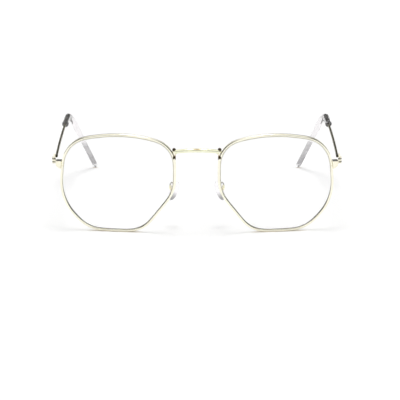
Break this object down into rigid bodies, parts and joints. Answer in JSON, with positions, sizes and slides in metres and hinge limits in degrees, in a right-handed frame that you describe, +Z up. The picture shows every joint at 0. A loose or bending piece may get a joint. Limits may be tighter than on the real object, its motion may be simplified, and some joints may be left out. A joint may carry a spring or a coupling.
{
  "type": "eyeglasses",
  "caption": "Thin gold wire eyeglasses with rounded six-sided rims, clear lenses, a slim wire bridge, clear nose pads and folding wire temples with clear sleeves.",
  "frame": {"origin": "on the surface that the open glasses stand on, under the middle of the whole object", "axes": "+X towards the wearer's left, -Y the way the lenses face, +Y back along the temples, +Z up"},
  "size_m": [0.1314, 0.1378, 0.0463],
  "materials": {
    "gold_wire": "polished pale gold plating",
    "dark_bead": "dark bronze plating",
    "gold_fitting": "polished pale gold plating",
    "temple_wire": "dark olive gold plating",
    "screw": "satin gold plating",
    "lens_clear": "polished, clear and uncoloured",
    "sleeve_clear": "clear gloss",
    "pad_clear": "clear soft gloss",
    "pad_core": "clear gloss"
  },
  "bodies": {
    "front": {"bridge": "gold_wire", "bridge_bar_left": "gold_wire", "bridge_bar_right": "gold_wire", "bridge_bead_left": "dark_bead", "bridge_bead_right": "dark_bead", "rim_left": "gold_wire", "rim_right": "gold_wire", "lens_left": "lens_clear", "lens_right": "lens_clear", "endpiece_left": "gold_fitting", "endpiece_right": "gold_fitting", "rim_lock_upper_left": "gold_fitting", "rim_lock_upper_right": "gold_fitting", "rim_lock_lower_left": "gold_fitting", "rim_lock_lower_right": "gold_fitting", "rim_lock_screw_left": "screw", "rim_lock_screw_right": "screw", "hinge_front_left": "gold_fitting", "hinge_front_right": "gold_fitting", "hinge_screw_left": "screw", "hinge_screw_right": "screw", "pad_arm_left": "gold_wire", "pad_arm_right": "gold_wire", "pad_box_left": "gold_fitting", "pad_box_right": "gold_fitting", "pad_screw_left": "screw", "pad_screw_right": "screw"},
    "temple_left": {"hinge_temple_left": "gold_fitting", "temple_wire_left": "temple_wire", "temple_sleeve_left": "sleeve_clear"},
    "temple_right": {"hinge_temple_right": "gold_fitting", "temple_wire_right": "temple_wire", "temple_sleeve_right": "sleeve_clear"},
    "pad_left": {"nose_pad_left": "pad_clear", "pad_insert_left": "pad_core"},
    "pad_right": {"nose_pad_right": "pad_clear", "pad_insert_right": "pad_core"}
  },
  "joints": [
    {"name": "temple_left_fold", "type": "hinge", "parent": "front", "child": "temple_left", "pos_m": [0.06477, -0.05644, 0.03208], "axis": [0, -0.0941, 0.9956], "range_deg": [0, 84]},
    {"name": "temple_right_fold", "type": "hinge", "parent": "front", "child": "temple_right", "pos_m": [-0.06477, -0.05644, 0.03208], "axis": [0, 0.0941, -0.9956], "range_deg": [0, 78]},
    {"name": "nose_pad_left_rock", "type": "hinge", "parent": "front", "child": "pad_left", "pos_m": [0.01129, -0.05576, 0.01896], "axis": [-0.2823, -0.8052, -0.5215], "range_deg": [-10, 10]},
    {"name": "nose_pad_right_rock", "type": "hinge", "parent": "front", "child": "pad_right", "pos_m": [-0.01129, -0.05576, 0.01896], "axis": [-0.2823, 0.8052, 0.5215], "range_deg": [-10, 10]}
  ]
}
